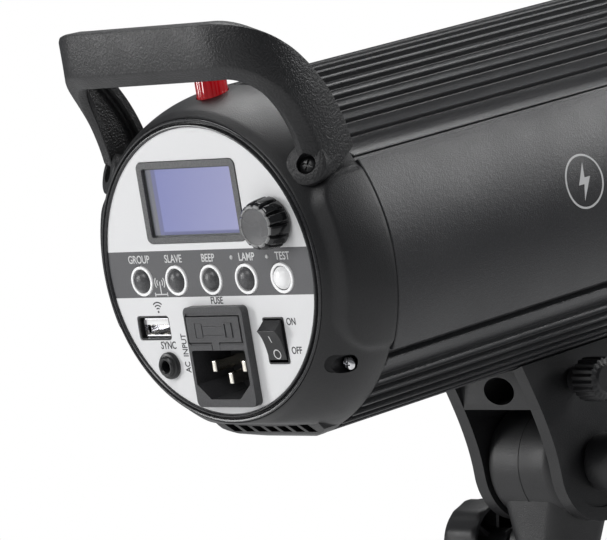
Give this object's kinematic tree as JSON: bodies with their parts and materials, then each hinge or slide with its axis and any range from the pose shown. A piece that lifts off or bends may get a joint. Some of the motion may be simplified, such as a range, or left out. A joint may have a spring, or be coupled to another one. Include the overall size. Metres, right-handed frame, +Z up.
{
  "type": "monolight strobe",
  "caption": "Studio flash head with ribbed tubular body, swept rear handle, round control panel, bayonet front with modelling lamp, and tilting stand bracket.",
  "frame": {"origin": "centre of the closed end of the stand socket, on the spigot axis", "axes": "+Z up along the stand spigot; +Y the way the light points when the head is level; +X the operator's right, seen from behind. In the rest pose the head is pitched 12 degrees nose-up."},
  "size_m": [0.1344, 0.3552, 0.2438],
  "materials": {
    "black_plastic": "fine spark-eroded texture",
    "black_paint": "satin powder coat",
    "grey_plastic": "satin",
    "pale_plastic": "satin overlay",
    "white_plastic": "translucent",
    "red_lens": "polished",
    "display_glass": "polished",
    "clear_glass": "polished",
    "steel": "plated",
    "chrome": "polished",
    "brass": "machined",
    "reflector": "polished",
    "ceramic": "glazed",
    "circuit_board": "solder mask"
  },
  "bodies": {
    "stand_adapter": {"stand_adapter": "black_plastic"},
    "head": {"body_shell": "black_paint", "rear_cap": "black_plastic", "panel_trim_ring": "black_plastic", "slave_sensor_dome": "red_lens", "vent_grille": "black_plastic", "handle": "black_plastic", "handle_screw_left": "steel", "handle_screw_right": "steel", "cap_screw_left": "chrome", "cap_screw_right": "chrome", "control_panel": "pale_plastic", "display_bezel": "grey_plastic", "display_window": "display_glass", "display_module": "grey_plastic", "control_board": "circuit_board", "button_light_guide": "white_plastic", "usb_port": "steel", "sync_jack": "steel", "power_inlet": "black_plastic", "inlet_pin_live": "brass", "inlet_pin_neutral": "brass", "inlet_pin_earth": "brass", "switch_housing": "black_plastic", "front_ring": "black_paint", "bayonet_mount": "steel", "front_dish": "reflector", "flash_tube": "clear_glass", "tube_post_left": "ceramic", "tube_post_right": "ceramic", "lamp_socket": "ceramic", "lamp_base": "brass", "modelling_lamp": "clear_glass", "fan_frame": "black_plastic", "capacitor_left": "grey_plastic", "capacitor_right": "grey_plastic", "power_board": "circuit_board", "charge_transformer": "steel", "chassis_plate": "steel", "yoke": "black_plastic", "yoke_screw_left": "steel", "yoke_screw_right": "steel", "tilt_bolt": "steel"},
    "control_knob": {"control_knob": "grey_plastic"},
    "encoder_shaft": {"encoder_shaft": "steel"},
    "power_rocker": {"power_rocker": "black_plastic"},
    "fuse_drawer": {"fuse_drawer": "black_plastic", "fuse": "clear_glass"},
    "fan_rotor": {"fan_rotor": "grey_plastic"},
    "release_latch": {"release_latch": "black_plastic"},
    "tilt_lever": {"tilt_lever": "black_plastic"},
    "umbrella_screw": {"umbrella_screw": "black_plastic"},
    "clamp_pad": {"clamp_pad": "brass"},
    "stand_knob": {"stand_knob": "black_plastic"},
    "button_group": {"button_group": "grey_plastic"},
    "button_slave": {"button_slave": "grey_plastic"},
    "button_buzzer": {"button_buzzer": "grey_plastic"},
    "button_lamp": {"button_lamp": "grey_plastic"},
    "button_test": {"button_test": "white_plastic"}
  },
  "joints": [
    {"name": "head_tilt", "type": "hinge", "parent": "stand_adapter", "child": "head", "pos_m": [0, 0, 0.0205], "axis": [1, 0, 0], "range_deg": [-87, 63]},
    {"name": "clamp_slide", "type": "slide", "parent": "stand_adapter", "child": "clamp_pad", "axis": [1, 0, 0], "range_m": [-0.0025, 0]},
    {"name": "stand_knob_turn", "type": "hinge", "parent": "clamp_pad", "child": "stand_knob", "pos_m": [0, 0, -0.0081], "axis": [1, 0, 0], "range_deg": [-720, 0]},
    {"name": "tilt_lever_turn", "type": "hinge", "parent": "head", "child": "tilt_lever", "pos_m": [0, 0, 0.0205], "axis": [1, 0, 0], "range_deg": [-60, 40]},
    {"name": "umbrella_screw_turn", "type": "hinge", "parent": "head", "child": "umbrella_screw", "pos_m": [0, -0.01319, 0.04888], "axis": [1, 0, 0], "range_deg": [-180, 0]},
    {"name": "encoder_push", "type": "slide", "parent": "head", "child": "encoder_shaft", "axis": [0, 0.9781, 0.2079], "range_m": [0, 0.0005], "stiffness_N_per_m": 1500, "springref_m": -0.0005},
    {"name": "control_knob_turn", "type": "hinge", "parent": "encoder_shaft", "child": "control_knob", "pos_m": [0.0334, -0.17238, 0.10041], "axis": [0, -0.9781, -0.2079], "continuous": true},
    {"name": "power_rocker_tip", "type": "hinge", "parent": "head", "child": "power_rocker", "pos_m": [0.0258, -0.15849, 0.0639], "axis": [1, 0, 0], "range_deg": [-22, 0]},
    {"name": "fuse_drawer_slide", "type": "slide", "parent": "head", "child": "fuse_drawer", "axis": [0, -0.9781, -0.2079], "range_m": [0, 0.016]},
    {"name": "fan_spin", "type": "hinge", "parent": "head", "child": "fan_rotor", "pos_m": [0, -0.11488, 0.09443], "axis": [0, 0.9781, 0.2079], "continuous": true},
    {"name": "latch_slide", "type": "slide", "parent": "head", "child": "release_latch", "axis": [0, -0.9781, -0.2079], "range_m": [0, 0.005], "stiffness_N_per_m": 400, "springref_m": -0.003},
    {"name": "button_group_press", "type": "slide", "parent": "head", "child": "button_group", "axis": [0, 0.9781, 0.2079], "range_m": [0, 0.0008], "stiffness_N_per_m": 800, "springref_m": -0.0008},
    {"name": "button_slave_press", "type": "slide", "parent": "head", "child": "button_slave", "axis": [0, 0.9781, 0.2079], "range_m": [0, 0.0008], "stiffness_N_per_m": 800, "springref_m": -0.0008},
    {"name": "button_buzzer_press", "type": "slide", "parent": "head", "child": "button_buzzer", "axis": [0, 0.9781, 0.2079], "range_m": [0, 0.0008], "stiffness_N_per_m": 800, "springref_m": -0.0008},
    {"name": "button_lamp_press", "type": "slide", "parent": "head", "child": "button_lamp", "axis": [0, 0.9781, 0.2079], "range_m": [0, 0.0008], "stiffness_N_per_m": 800, "springref_m": -0.0008},
    {"name": "button_test_press", "type": "slide", "parent": "head", "child": "button_test", "axis": [0, 0.9781, 0.2079], "range_m": [0, 0.0008], "stiffness_N_per_m": 800, "springref_m": -0.0008}
  ],
  "couplings": [
    {"joint": "clamp_slide", "follows": "stand_knob_turn", "m_per_rad": 0.00019894}
  ]
}
